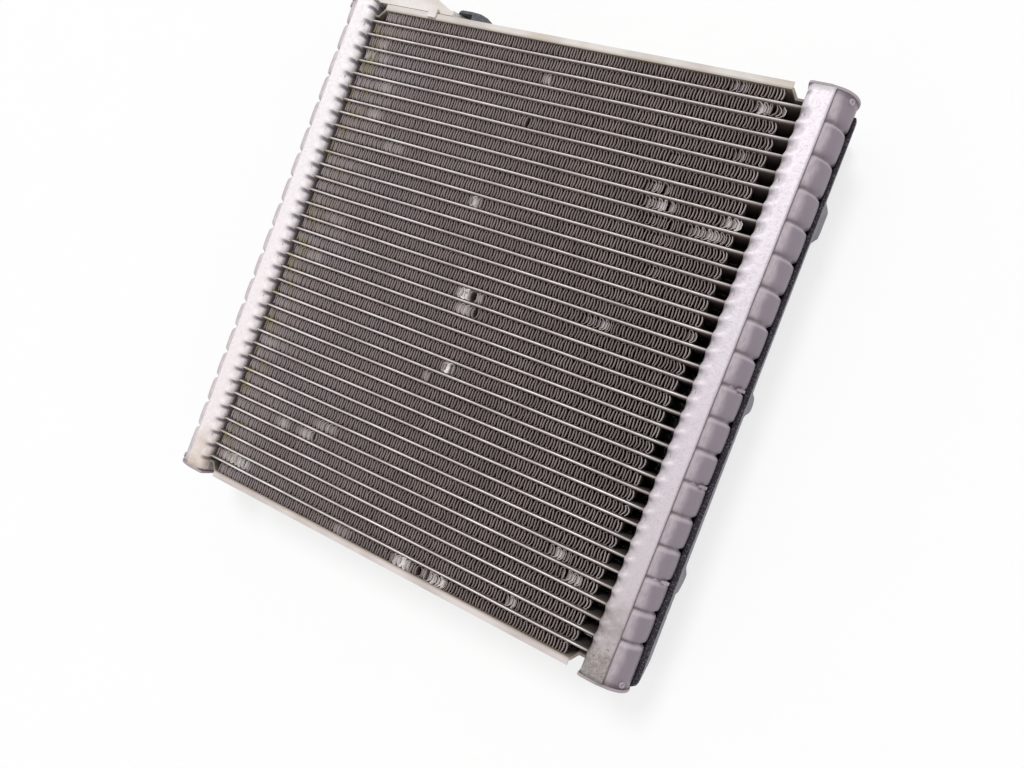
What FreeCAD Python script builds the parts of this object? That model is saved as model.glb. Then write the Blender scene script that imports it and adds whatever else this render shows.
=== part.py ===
# Evaporator core of brazed aluminium: two tanks, two rows of flat tubes, folded fins and two side plates.
# X runs along the tubes, Y along the tanks, Z through the core from its rear face to its front face.
# The origin is the centre of the part's footprint, on the plane of the tanks' rear faces, on which it lies.
# The sketches below are drawn about the centre of the core and moved there at the end. Millimetres.

import FreeCAD, Part
import math
import os

V = FreeCAD.Vector

# Tubes
tube_count = 35
tube_pitch = 6.6
tube_thickness = 1.7
tube_depth = 17.0
tube_nose_length = 0.7
tube_nose_flat = 0.8
row_gap = 4.0
tube_reach = 2.5

# Fins
fin_thickness = 0.3
fin_wall_count = 14
fin_gap_left = 2.8
fin_gap_right = 4.9
outer_fin_gap = 1.5
braze_gap = 0.02

# Header plates
header_span = 203.2
header_sheet = 1.2
header_height = 9.9
header_bend = 2.2
valley_length = 4.2
slot_clearance = 0.05
tank_overhang = 2.6
cut_overshoot = 1.0

# Tank covers
cover_sheet = 1.2
dome_reach = 8.9
dome_facets = 5
segment_tubes = 2
groove_width = 3.6
groove_depth = 0.9
seat_clearance = 0.05
tube_side_gap = 0.05

# End caps
cap_thickness = 1.2
cap_margin = 0.8
cap_corner = 1.5
cap_arc_angle = 150.0
cap_valley_share = 0.45
cap_plug_length = 1.6
claw_width = 2.4
claw_length = 3.4
claw_angle = 50.0

# Baffles of the right tank and separator of the left tank, each at a groove counted from 0 at the top
baffle_thickness = 1.2
baffle_gap = 0.15
baffle_groove_count = (8, 11, 14)
separator_groove_count = 8
tab_width = 2.4
tab_stand = 0.8
tab_angle = 62.0

# Side plates
plate_sheet = 1.0
plate_flange = 3.05
plate_end_gap = 5.6
joggle_run = 2.6
joggle_lap = 0.5
tongue_step = 2.6
tongue_width = 37.0

# Side passage at the top end of the left tank
passage_sheet = 1.2
passage_length = 69.4
passage_width = 36.0
channel_width = 14.6
channel_height = 6.2
channel_rise = 2.0
channel_ramp = 13.5
channel_inset = 2.4
channel_end_inset = 8.4
passage_corner = 9.4
port_hole_radius = 4.5
port_hole_side_count = 10
passage_hole_side_count = 8
strap_from_end = 16.7
strap_width = 4.4
strap_sheet = 1.0
strap_length = 3.2

# Connector block
block_inset = 0.8
block_length = 26.0
block_height = 14.0
block_width = 38.0
block_corner = 4.0
inlet_radius = 4.0
outlet_radius = 5.5
stud_hole_radius = 2.5
stud_hole_depth = 10.0
port_clearance = 0.2

# Foam strip on the right tank
foam_cover_top = 1.6
foam_cover_bottom = 2.9
foam_cover_bump = 4.0
foam_rear_margin = 1.0
foam_rise = 8.5
foam_top_margin = 4.7
foam_bottom_margin = 1.5
foam_end_length = 8.0
foam_end_bend = 3.5
foam_end_step = 0.6
foam_end_taper = 2.0
foam_gap = 0.1
foam_bump_pitch = 78.2
foam_bump_middle = 1.0
bump_half = 6.0
bump_crest = 1.8

# Foam pad at the end of the side passage; its bends are (distance from its right end, drop below its top)
pad_rear = 8.0
pad_front = 39.0
pad_reach = 11.6
pad_lap = 7.9
pad_rise = 1.85
pad_toe = 1.0
pad_tip_height = 2.0
pad_bends = ((2.0, 2.5), (6.0, 0.6), (11.0, 0.0))

# Places worked out from the sizes above
header_inner = header_span / 2
header_outer = header_inner + header_height
core_depth = 2 * tube_depth + row_gap
core_rear = header_sheet + seat_clearance + cover_sheet + tube_side_gap
core_front = core_rear + core_depth
tank_depth = core_front + core_rear
tank_middle = tank_depth / 2
fin_height = tube_pitch - tube_thickness
stack_edge = (tube_count - 1) * tube_pitch / 2 + tube_thickness / 2 + fin_height
tank_end = stack_edge + tank_overhang
cap_outer = tank_end + cap_thickness
flange_outer = stack_edge + plate_flange
plate_half_length = header_inner - plate_end_gap
dome_radius = (tank_depth - 2 * header_sheet) / 4
dome_axis = header_outer + dome_reach - dome_radius
dome_front = tank_middle + dome_radius
dome_rear = tank_middle - dome_radius
apex = dome_axis + dome_radius
tube_centres = [((tube_count - 1) / 2 - i) * tube_pitch for i in range(tube_count)]
tongue_y = tube_centres[0] + tongue_step
groove_first = tube_centres[0] - tube_pitch / 2
groove_places = [groove_first - segment_tubes * tube_pitch * k for k in range(tube_count // segment_tubes)]
passage_left = -apex
passage_right = passage_left + passage_length
block_left = passage_left + block_inset
block_right = block_left + block_length
block_middle = (block_left + block_right) / 2
foam_front = tank_middle + foam_rise
foam_top = cap_outer - foam_top_margin
foam_bottom = foam_bottom_margin - cap_outer
skin_top = cap_outer + 2 * passage_sheet
channel_top = cap_outer + passage_sheet + channel_height


def box(x0, x1, y0, y1, z0, z1):
    return Part.makeBox(x1 - x0, y1 - y0, z1 - z0, V(x0, y0, z0))


def prism_along_y(points, y0, y1):
    wire = Part.makePolygon([V(x, y0, z) for x, z in points + points[:1]])
    return Part.Face(wire).extrude(V(0, y1 - y0, 0))


def prism_along_z(points, z0, z1):
    wire = Part.makePolygon([V(x, y, z0) for x, y in points + points[:1]])
    return Part.Face(wire).extrude(V(0, 0, z1 - z0))


def prism_along_x(points, x0, x1):
    wire = Part.makePolygon([V(x0, y, z) for y, z in points + points[:1]])
    return Part.Face(wire).extrude(V(x1 - x0, 0, 0))


def on_left(shape):
    return shape.mirror(V(0, 0, 0), V(1, 0, 0))


def at_bottom(shape):
    return shape.mirror(V(0, 0, 0), V(0, 1, 0))


def join(shapes):
    return shapes[0].multiFuse(shapes[1:]).removeSplitter() if len(shapes) > 1 else shapes[0]


# Tubes: a flat section with a bevelled nose on the side that meets the air, straight from tank to tank
def flat_tube(y, z_nose, z_heel):
    half = tube_thickness / 2
    nose = tube_nose_flat / 2
    shoulder = z_nose + math.copysign(tube_nose_length, z_heel - z_nose)
    section = [(y - half, z_heel), (y - half, shoulder), (y - nose, z_nose), (y + nose, z_nose),
               (y + half, shoulder), (y + half, z_heel)]
    reach = header_inner + header_sheet + tube_reach
    return prism_along_x(section, -reach, reach)


def tube_row(z_nose, z_heel):
    return Part.makeCompound([flat_tube(y, z_nose, z_heel) for y in tube_centres])


# Fins: one folded strip per gap, its crests against the tubes above and below
def folded_fin(y, left, right):
    low = y - fin_height / 2 + braze_gap
    high = y + fin_height / 2 - braze_gap
    run = (right - left) / fin_wall_count
    rise = high - low
    across = fin_thickness * math.hypot(run, rise) / run
    upper = []
    lower = []
    for k in range(fin_wall_count + 1):
        crest = k % 2 == 1
        x = left + k * run
        upper.append((x, high if crest else low + across))
        lower.append((x, high - across if crest else low))
    return prism_along_z(upper + lower[::-1], core_rear, core_front)


# Header plates: a channel whose web takes the tubes, its bends pressed in by a valley between the tubes
def header_plate():
    x0 = header_inner
    bend = header_bend
    corner = bend * (1 - math.cos(math.radians(45)))
    outer = [(x0, bend), (x0 + corner, corner), (x0 + bend, 0), (header_outer, 0)]
    inner = [(header_outer, header_sheet), (x0 + bend, header_sheet), (x0 + header_sheet, bend)]
    half_section = outer + inner
    mirrored = [(x, tank_depth - z) for x, z in half_section[::-1]]
    plate = prism_along_y(half_section + mirrored, -tank_end, tank_end)
    cuts = []
    for y in tube_centres:
        for z in (core_rear, core_rear + tube_depth + row_gap):
            cuts.append(web_slot(y, tube_thickness, z, tube_depth))
    for side in (1, -1):
        cuts.append(web_slot(side * tongue_y, plate_sheet, (tank_depth - tongue_width) / 2, tongue_width))
    for y in tube_centres[:-1]:
        cuts += bend_valleys(y - tube_pitch / 2)
    return plate.cut(Part.makeCompound(cuts))


def web_slot(y, thickness, z, depth):
    half = thickness / 2 + slot_clearance
    x0 = header_inner - cut_overshoot
    x1 = header_inner + header_sheet + cut_overshoot
    return box(x0, x1, y - half, y + half, z - slot_clearance, z + depth + slot_clearance)


def bend_valleys(y):
    x0 = header_inner
    over = cut_overshoot
    rear = [(x0 - over, header_bend + over), (x0 - over, -over), (x0 + header_bend + over, -over)]
    front = [(x, tank_depth - z) for x, z in rear]
    half = valley_length / 2
    return [prism_along_y(points, y - half, y + half) for points in (rear, front)]


# Tank covers: two domes side by side with a valley between them, and a groove across each dome at every
# second tube gap that runs out before the valley
def dome_arc(z_axis, radius, start, end):
    step = (end - start) / dome_facets
    angles = [math.radians(start + step * k) for k in range(dome_facets + 1)]
    return [(dome_axis + radius * math.sin(a), z_axis + radius * math.cos(a)) for a in angles]


def cover_section(radius, foot):
    front = dome_arc(dome_front, radius, 0, 180)
    rear = dome_arc(dome_rear, radius, 0, 180)
    top = (foot, front[0][1])
    bottom = (foot, rear[-1][1])
    return [top] + front, rear + [bottom]


def groove_cutter(y, z_axis, facets):
    deep = dome_radius - groove_depth
    out = dome_radius + cut_overshoot
    half = groove_width / 2 * (out - deep) / groove_depth
    roots = dome_arc(z_axis, deep, 0, 180)
    rims = dome_arc(z_axis, out, 0, 180)
    wedges = []
    for k in facets:
        root = [V(x, y, z) for x, z in roots[k:k + 2]]
        near = [V(x, y - half, z) for x, z in rims[k:k + 2]]
        far = [V(x, y + half, z) for x, z in rims[k:k + 2]]
        rings = [near + root[::-1], far + root[::-1], near + far[::-1], [near[0], far[0], root[0]],
                 [near[1], far[1], root[1]]]
        faces = [Part.Face(Part.makePolygon(ring + ring[:1])) for ring in rings]
        wedges.append(Part.Solid(Part.makeShell(faces)))
    return wedges


def tank_cover(tab_places):
    foot = header_inner + header_bend + seat_clearance
    front, rear = cover_section(dome_radius - seat_clearance, foot)
    front_in, rear_in = cover_section(dome_radius - cover_sheet, foot)
    outer = front + [(dome_axis, tank_middle)] + rear
    body = prism_along_y(outer, -tank_end, tank_end)
    front_room = front_in + [(foot, front_in[-1][1])]
    rear_room = [(foot, rear_in[0][1])] + rear_in
    rooms = [prism_along_y(p, -tank_end, tank_end) for p in (front_room, rear_room)]
    cutters = []
    for y in groove_places:
        cutters += groove_cutter(y, dome_front, range(dome_facets - 1))
        cutters += groove_cutter(y, dome_rear, range(1, dome_facets))
    slots = [baffle_tab(y, seat_clearance) for y in tab_places]
    return body.cut(Part.makeCompound(rooms)).cut(Part.makeCompound(cutters + slots))


def baffle_tab(y, clearance):
    half = baffle_thickness / 2 + clearance
    width = tab_width / 2 + clearance
    reach = dome_radius + tab_stand + clearance
    tab = box(0, reach, y - half, y + half, -width, width)
    tab.rotate(V(0, 0, 0), V(0, 1, 0), tab_angle - 90)
    tab.translate(V(dome_axis, 0, dome_front))
    return tab


def room_filler(z_axis, gap):
    foot = header_inner + header_sheet + tube_reach + gap
    radius = dome_radius - cover_sheet - gap
    arc = dome_arc(z_axis, radius, 0, 180)
    return [(foot, arc[0][1])] + arc + [(foot, arc[-1][1])]


def baffle(y):
    half = baffle_thickness / 2
    plate = prism_along_y(room_filler(dome_front, baffle_gap), y - half, y + half)
    return join([plate, baffle_tab(y, 0)])


def separator(y):
    half = baffle_thickness / 2
    return prism_along_y(room_filler(dome_front, baffle_gap), y - half, y + half)


# End caps: a flat plate with the tank's outline, a plug in each dome and a claw folded over each dome
def end_cap(ports):
    rim = dome_radius + cap_margin
    front = dome_arc(dome_front, rim, 0, cap_arc_angle)
    rear = dome_arc(dome_rear, rim, 180 - cap_arc_angle, 180)
    front[0] = (dome_axis, tank_depth)
    rear[-1] = (dome_axis, 0)
    valley = [(dome_axis + rim * cap_valley_share, tank_middle)]
    inner = header_inner - cap_margin
    outline = [(inner, tank_depth - cap_corner), (inner + cap_corner, tank_depth)] + front + valley
    outline += rear + [(inner + cap_corner, 0), (inner, cap_corner)]
    pieces = [prism_along_y(outline, tank_end, cap_outer)]
    for side, z_axis in ((1, dome_front), (-1, dome_rear)):
        plug = room_filler(z_axis, seat_clearance)
        pieces.append(prism_along_y(plug, tank_end - cap_plug_length, tank_end))
        pieces.append(claw(z_axis, side))
    cap = join(pieces)
    if ports:
        low = tank_end - cap_plug_length - cut_overshoot
        high = cap_outer + cut_overshoot
        holes = [passage_hole(z, low, high) for z in (dome_front, dome_rear)]
        cap = cap.cut(Part.makeCompound(holes))
    return cap


def claw(z_axis, side):
    half = claw_width / 2
    tab = box(dome_radius, dome_radius + cap_margin, tank_end - claw_length, tank_end, -half, half)
    tab.rotate(V(0, 0, 0), V(0, 1, 0), side * (claw_angle - 90))
    tab.translate(V(dome_axis, 0, z_axis))
    return tab


def many_sided_hole(x, z, radius, sides, y0, y1):
    step = 2 * math.pi / sides
    angles = [step * k for k in range(sides)]
    return prism_along_y([(x + radius * math.cos(a), z + radius * math.sin(a)) for a in angles], y0, y1)


def passage_hole(z, y0, y1):
    return many_sided_hole(dome_axis, z, port_hole_radius, passage_hole_side_count, y0, y1)


# Side plates: a channel open outwards whose web steps down at each end to a tongue in the header plate
def side_plate():
    half = plate_half_length
    reach = header_inner + header_sheet
    low = tongue_y - plate_sheet / 2
    web = box(-half, half, stack_edge, stack_edge + plate_sheet, core_rear, core_front)
    pieces = [web]
    for z0 in (core_rear, core_front - plate_sheet):
        pieces.append(box(-half, half, stack_edge, flange_outer, z0, z0 + plate_sheet))
    z = (tank_depth - tongue_width) / 2
    for side in (1, -1):
        step = half + joggle_run
        start = half - joggle_lap
        under = [(start, stack_edge), (half, stack_edge), (step, low), (reach, low)]
        over = [(reach, low + plate_sheet), (step + joggle_lap, low + plate_sheet),
                (half + joggle_lap, stack_edge + plate_sheet), (start, stack_edge + plate_sheet)]
        profile = under + over
        pieces.append(prism_along_z([(side * x, y) for x, y in profile], z, tank_depth - z))
    return join(pieces)


# Side passage: a flat base and a pressed cover with two channels, from the end cap to the connector block
def passage_base():
    z0 = (tank_depth - passage_width) / 2
    y0 = cap_outer
    plate = prism_along_y(passage_outline(z0), y0, y0 + passage_sheet)
    x1 = passage_right - strap_from_end
    x0 = x1 - strap_width
    tab = box(x0, x1, y0, y0 + passage_sheet, tank_middle, core_front + strap_sheet)
    strap = box(x0, x1, y0 - strap_length, y0 + passage_sheet, core_front, core_front + strap_sheet)
    base = join([plate, tab, strap])
    over = y0 + passage_sheet + cut_overshoot
    holes = [on_left(passage_hole(z, y0 - cut_overshoot, over)) for z in (dome_front, dome_rear)]
    return base.cut(Part.makeCompound(holes))


def passage_outline(z0):
    z1 = tank_depth - z0
    x0 = passage_left
    x1 = passage_right
    c = passage_corner
    return [(x0, z0), (x1 - c, z0), (x1, z0 + c), (x1, z1 - c), (x1 - c, z1), (x0, z1)]


def channel_profile(inset):
    y0 = cap_outer + passage_sheet
    top = channel_top - inset
    left = passage_left + channel_inset
    right = passage_right - channel_end_inset
    return [(left + inset, y0), (left + inset + channel_rise, top), (right - channel_ramp, top),
            (right - inset * 2, y0)]


def passage_cover():
    z0 = (tank_depth - passage_width) / 2
    y0 = cap_outer + passage_sheet
    skin = prism_along_y(passage_outline(z0), y0, y0 + passage_sheet)
    half = channel_width / 2
    shells = [prism_along_z(channel_profile(0), z - half, z + half) for z in (dome_front, dome_rear)]
    inner = half - passage_sheet
    room = channel_profile(passage_sheet)
    rooms = [prism_along_z(room, z - inner, z + inner) for z in (dome_front, dome_rear)]
    over = channel_top + cut_overshoot
    sides = port_hole_side_count
    ports = [many_sided_hole(block_middle, z, radius + port_clearance, sides, skin_top, over)
             for radius, z in port_places()]
    return join([skin] + shells).cut(Part.makeCompound(rooms)).cut(Part.makeCompound(ports))


def port_places():
    return ((inlet_radius, dome_front), (outlet_radius, dome_rear))


# Connector block: the two refrigerant ports and the threaded hole that holds the valve flange
def connector_block():
    y0 = channel_top
    top = y0 + block_height
    z0 = (tank_depth - block_width) / 2
    z1 = z0 + block_width
    c = block_corner
    outline = [(block_left + c, z0), (block_right - c, z0), (block_right, z0 + c), (block_right, z1 - c),
               (block_right - c, z1), (block_left + c, z1), (block_left, z1 - c), (block_left, z0 + c)]
    stud_floor = V(block_middle, top - stud_hole_depth, tank_middle)
    holes = [Part.makeCylinder(stud_hole_radius, stud_hole_depth, stud_floor, V(0, 1, 0))]
    for radius, z in port_places():
        holes.append(Part.makeCylinder(radius, block_height, V(block_middle, y0, z), V(0, 1, 0)))
    return prism_along_y(outline, y0, top).cut(Part.makeCompound(holes))


# Foam strip on the right tank: fills the valley and covers the outer sides of both domes, a little thicker
# towards the bottom, with three low bulges
def foam_outer(y):
    share = (foam_top - y) / (foam_top - foam_bottom)
    return apex + foam_cover_top + share * (foam_cover_bottom - foam_cover_top)


def tank_foam():
    root = header_outer + foam_gap
    crest = apex + foam_cover_bump
    start = foam_outer(foam_top)
    end = foam_outer(foam_bottom)
    outline = [(root, foam_top), (start - foam_end_step, foam_top), (start, foam_top - foam_end_length)]
    for k in (1, 0, -1):
        y = foam_bump_middle + k * foam_bump_pitch
        outline += [(foam_outer(y + bump_half), y + bump_half), (crest, y + bump_crest),
                    (crest, y - bump_crest), (foam_outer(y - bump_half), y - bump_half)]
    outline += [(end, foam_bottom + foam_end_length), (end - foam_end_step, foam_bottom + foam_end_bend),
                (end - foam_end_taper, foam_bottom), (root, foam_bottom)]
    strip = prism_along_z(outline, foam_rear_margin, foam_front)
    rooms = [prism_along_y(hugging_room(z_axis, dome_radius + foam_gap), -cap_outer, cap_outer)
             for z_axis in (dome_front, dome_rear)]
    claw_radius = (dome_radius + cap_margin) / math.cos(math.radians(90 / dome_facets))
    claw_start = tank_end - claw_length - foam_gap
    claw_rooms = [prism_along_y(hugging_room(z_axis, claw_radius + foam_gap), claw_start, cap_outer)
                  for z_axis in (dome_front, dome_rear)]
    return strip.cut(Part.makeCompound(rooms + [at_bottom(room) for room in claw_rooms]))


def hugging_room(z_axis, radius):
    arc = dome_arc(z_axis, radius, 0, 180)
    foot = header_outer
    return [(foot, arc[0][1])] + arc + [(foot, arc[-1][1])]


# Foam pad: lies on the end of the passage cover and steps down onto the top side plate
def side_foam():
    right = passage_right + pad_reach
    left = passage_right - pad_lap
    wall = passage_right + foam_gap
    floor = stack_edge + plate_sheet + foam_gap
    shelf = skin_top + foam_gap
    crown = skin_top + pad_rise
    outline = [(wall, floor), (right - pad_toe, floor), (right, floor + pad_tip_height)]
    outline += [(right - reach, crown - drop) for reach, drop in pad_bends]
    outline += [(left + pad_rise, crown), (left, shelf), (wall, shelf)]
    return prism_along_z(outline, pad_rear, pad_front)


def fin_nodes():
    nodes = {}
    places = [y + tube_pitch / 2 for y in tube_centres] + [tube_centres[-1] - tube_pitch / 2]
    for number, y in enumerate(places, 1):
        outer = number in (1, len(places))
        left = plate_half_length - outer_fin_gap if outer else header_inner - fin_gap_left
        right = plate_half_length - outer_fin_gap if outer else header_inner - fin_gap_right
        nodes["fin_%02d" % number] = folded_fin(y, -left, right)
    return nodes


def model():
    header = header_plate()
    right_cover = tank_cover([groove_places[k] for k in baffle_groove_count])
    left_cover = on_left(tank_cover([]))
    plain_cap = end_cap(False)
    plate = side_plate()
    nodes = {
        "front_tubes": tube_row(core_front, core_front - tube_depth),
        "rear_tubes": tube_row(core_rear, core_rear + tube_depth),
        "right_header_plate": header,
        "left_header_plate": on_left(header),
        "right_tank_cover": right_cover,
        "left_tank_cover": left_cover,
        "right_top_end_cap": plain_cap,
        "right_bottom_end_cap": at_bottom(plain_cap),
        "left_top_end_cap": on_left(end_cap(True)),
        "left_bottom_end_cap": at_bottom(on_left(plain_cap)),
        "top_side_plate": plate,
        "bottom_side_plate": at_bottom(plate),
        "left_tank_separator": on_left(separator(groove_places[separator_groove_count])),
        "side_passage_base": passage_base(),
        "side_passage_cover": passage_cover(),
        "connector_block": connector_block(),
        "right_tank_foam": tank_foam(),
        "side_plate_foam": side_foam(),
    }
    for name, k in zip(("upper", "middle", "lower"), baffle_groove_count):
        nodes["%s_baffle" % name] = baffle(groove_places[k])
    nodes.update(fin_nodes())
    return nodes


def about_footprint(nodes):
    boxes = [shape.BoundBox for shape in nodes.values()]
    x = (min(b.XMin for b in boxes) + max(b.XMax for b in boxes)) / 2
    y = (min(b.YMin for b in boxes) + max(b.YMax for b in boxes)) / 2
    return {name: shape.translated(V(-x, -y, 0)) for name, shape in nodes.items()}


os.makedirs("parts", exist_ok=True)
for name, shape in about_footprint(model()).items():
    shape.exportStep("parts/%s.step" % name)
    state = "valid" if shape.isValid() else "NOT VALID"
    print(name, len(shape.Solids), "solid(s)", round(shape.Volume, 1), "mm3", state)
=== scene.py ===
import math

import bmesh
import bpy
import numpy as np
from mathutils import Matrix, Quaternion, Vector


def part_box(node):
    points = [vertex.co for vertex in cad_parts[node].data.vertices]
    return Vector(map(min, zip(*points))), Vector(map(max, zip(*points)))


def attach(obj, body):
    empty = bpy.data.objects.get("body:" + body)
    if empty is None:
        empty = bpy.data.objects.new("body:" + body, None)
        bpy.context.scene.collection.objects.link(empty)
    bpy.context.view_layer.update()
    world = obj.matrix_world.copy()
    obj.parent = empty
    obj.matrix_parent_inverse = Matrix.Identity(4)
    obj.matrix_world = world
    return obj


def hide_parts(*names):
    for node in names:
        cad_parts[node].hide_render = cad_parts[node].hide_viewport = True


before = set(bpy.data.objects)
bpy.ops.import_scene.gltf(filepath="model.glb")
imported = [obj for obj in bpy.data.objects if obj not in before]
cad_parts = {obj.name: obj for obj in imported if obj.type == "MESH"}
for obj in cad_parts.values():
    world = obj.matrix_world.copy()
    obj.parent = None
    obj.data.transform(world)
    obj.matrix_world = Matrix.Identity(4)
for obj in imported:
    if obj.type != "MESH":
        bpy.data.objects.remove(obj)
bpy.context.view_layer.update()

# Lengths are in millimetres in the part frame and turn to metres where a mesh is made
mm = 0.001

core = {
    "tubeCount": 35,
    "tubePitch": 6.6,
    "tubeThickness": 1.7,
    "segmentTubes": 2,  # tubes to one pressed segment of a tank
}


def nodeBox(node):
    low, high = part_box(node)
    return np.array(low) / mm, np.array(high) / mm


rightHeaderLow, rightHeaderHigh = nodeBox("right_header_plate")
leftHeaderLow, leftHeaderHigh = nodeBox("left_header_plate")
frontTubesLow, frontTubesHigh = nodeBox("front_tubes")
rearTubesLow, rearTubesHigh = nodeBox("rear_tubes")
tankDepth = rightHeaderHigh[2]
tankTop = rightHeaderHigh[1]
tankBottom = rightHeaderLow[1]
headerDepth = rightHeaderHigh[0] - rightHeaderLow[0]
innerFace = {"right": rightHeaderLow[0], "left": leftHeaderHigh[0]}
outward = {"right": 1, "left": -1}
firstTube = frontTubesHigh[1] - core["tubeThickness"] / 2
tubePlaces = firstTube - np.arange(core["tubeCount"]) * core["tubePitch"]
segmentLength = core["segmentTubes"] * core["tubePitch"]
groovePlaces = firstTube - core["tubePitch"] / 2 - np.arange(core["tubeCount"] // 2) * segmentLength


# Mesh helpers
def smoothStep(value, low, high):
    share = np.clip((value - low) / (high - low), 0, 1)
    return share * share * (3 - 2 * share)


def wander(rng, places, wave):
    # a smooth random line between about -1 and 1, the sum of three waves
    waves = (1.0, 0.61, 0.37)
    total = np.zeros(len(places))
    for part in waves:
        total += part * np.sin(2 * math.pi * places / (wave * part) + rng.uniform(0, 2 * math.pi))
    return total / sum(waves)


def quadsOfSweep(stations, ring):
    i = np.arange(stations - 1)[:, None] * ring
    j = np.arange(ring)[None, :]
    following = (j + 1) % ring
    sides = np.stack([i + j, i + following, i + following + ring, i + j + ring], axis=-1).reshape(-1, 4)
    k = np.arange(ring // 2 - 1)
    start = np.stack([k, k + 1, ring - 2 - k, ring - 1 - k], axis=-1)
    return sides, np.concatenate([start, start + (stations - 1) * ring])


def addObject(name, data):
    made = bpy.data.objects.new(name, data)
    bpy.context.scene.collection.objects.link(made)
    return made


def dress(piece, material, slotName, *nodes):
    piece.data.materials.append(material)
    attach(piece, "root")
    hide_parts(*nodes)
    return piece


def sweptPiece(name, sweeps, flatColumns=()):
    # each sweep is an array of rings: station, point of the ring, x y z
    points = []
    quads = []
    smooth = []
    count = 0
    for rings in sweeps:
        stations, ring = rings.shape[:2]
        sides, ends = quadsOfSweep(stations, ring)
        sideSmooth = np.ones((stations - 1, ring), bool)
        for column in flatColumns:
            sideSmooth[:, column] = False
        points.append(rings.reshape(-1, 3))
        quads.append(np.concatenate([sides, ends]) + count)
        smooth.append(np.concatenate([sideSmooth.ravel(), np.zeros(len(ends), bool)]))
        count += stations * ring
    points = np.concatenate(points) * mm
    quads = np.concatenate(quads)
    mesh = bpy.data.meshes.new(name)
    mesh.vertices.add(len(points))
    mesh.vertices.foreach_set("co", points.astype(np.float32).ravel())
    mesh.loops.add(quads.size)
    mesh.loops.foreach_set("vertex_index", quads.astype(np.int32).ravel())
    mesh.polygons.add(len(quads))
    mesh.polygons.foreach_set("loop_start", np.arange(len(quads), dtype=np.int32) * 4)
    mesh.update(calc_edges=True)
    mesh.polygons.foreach_set("use_smooth", np.concatenate(smooth))
    work = bmesh.new()
    work.from_mesh(mesh)
    bmesh.ops.recalc_face_normals(work, faces=work.faces)
    work.to_mesh(mesh)
    work.free()
    return addObject(name, mesh)


def toSide(side, rings):
    # rings drawn outwards from a header's inner face, moved to that side of the core
    rings[:, :, 0] = innerFace[side] + outward[side] * rings[:, :, 0]
    return rings


def bentSheet(name, side, ys, d, z, normalD, normalZ, sheet):
    # a sheet from its outer side, with d and z as arrays of station by point
    outer = np.stack([d, np.broadcast_to(ys[:, None], d.shape), z], axis=-1)
    inward = sheet * np.stack([normalD, np.zeros(len(normalD)), normalZ], axis=-1)
    rings = np.concatenate([outer, (outer - inward[None])[:, ::-1]], axis=1)
    ring = rings.shape[1]
    return sweptPiece(name, [toSide(side, rings)], flatColumns=(ring // 2 - 1, ring - 1))


# Material helpers
def colour(text):
    parts = [int(text[i:i + 2], 16) / 255 for i in (1, 3, 5)]
    linear = [c / 12.92 if c <= 0.04045 else ((c + 0.055) / 1.055) ** 2.4 for c in parts]
    return linear + [1.0]


def addNode(tree, kind, settings, links=None):
    made = tree.nodes.new(kind)
    for key, value in settings.items():
        if isinstance(key, int) or key in made.inputs:
            made.inputs[key].default_value = value
        else:
            setattr(made, key, value)
    for key, source in (links or {}).items():
        tree.links.new(source, made.inputs[key])
    return made


def startFinish(name, look):
    # the place on the part in millimetres, as one vector and as x, y and z
    material = bpy.data.materials.new(name)
    material.use_nodes = True
    tree = material.node_tree
    shader = tree.nodes["Principled BSDF"]
    shader.inputs["Roughness"].default_value = look["roughness"]
    shader.inputs["Metallic"].default_value = look.get("metallic", 0.0)
    metres = addNode(tree, "ShaderNodeTexCoord", {})
    place = addNode(tree, "ShaderNodeMapping", {"Scale": (1000, 1000, 1000)},
                    {"Vector": metres.outputs["Object"]})
    axes = addNode(tree, "ShaderNodeSeparateXYZ", {}, {0: place.outputs[0]})
    return material, tree, shader, place.outputs[0], axes.outputs


def endFinish(tree, shader, tint, height, relief, under=None):
    # the finished colour, and a relief whose depth is in metres
    tree.links.new(tint, shader.inputs["Base Color"])
    links = {"Height": height} if under is None else {"Height": height, "Normal": under}
    bump = addNode(tree, "ShaderNodeBump", relief, links)
    tree.links.new(bump.outputs["Normal"], shader.inputs["Normal"])


def maskOf(tree, *parts):
    # the share to which every measure lies in its range
    share = None
    for value, spread in parts:
        within = addNode(tree, "ShaderNodeMapRange", spread, {"Value": value}).outputs["Result"]
        if share is not None:
            both = addNode(tree, "ShaderNodeMath", {"operation": "MULTIPLY", "use_clamp": True},
                           {0: share, 1: within})
            within = both.outputs[0]
        share = within
    return share


def tintWhere(tree, under, tint, *parts):
    # a tint over a first colour or over what is there, as far as the mask of the parts lets it show
    settings = {"data_type": "RGBA", 7: colour(tint)}
    links = {0: maskOf(tree, *parts)}
    if isinstance(under, str):
        settings[6] = colour(under)
    else:
        links[6] = under
    return addNode(tree, "ShaderNodeMix", settings, links).outputs[2]


def distanceFrom(tree, value, middle):
    offset = addNode(tree, "ShaderNodeMath", {"operation": "SUBTRACT", 1: float(middle)}, {0: value})
    return addNode(tree, "ShaderNodeMath", {"operation": "ABSOLUTE"}, {0: offset.outputs[0]}).outputs[0]


def acrossTube(tree, y):
    # how far above the middle of the nearest tube, negative below it
    toFirst = addNode(tree, "ShaderNodeMath", {"operation": "SUBTRACT", 1: float(firstTube)}, {0: y})
    half = core["tubePitch"] / 2
    nearest = addNode(tree, "ShaderNodeMath", {"operation": "WRAP", 1: half, 2: -half},
                      {0: toFirst.outputs[0]})
    return nearest.outputs[0]


def noisyPlace(tree, place, value, noise, drift):
    # a measure whose level lines wander by random noise
    clouds = addNode(tree, "ShaderNodeTexNoise", noise, {"Vector": place})
    moved = addNode(tree, "ShaderNodeMath", {"operation": "MULTIPLY_ADD", 1: drift},
                    {0: clouds.outputs["Fac"], 2: value})
    return moved.outputs[0]


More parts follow.
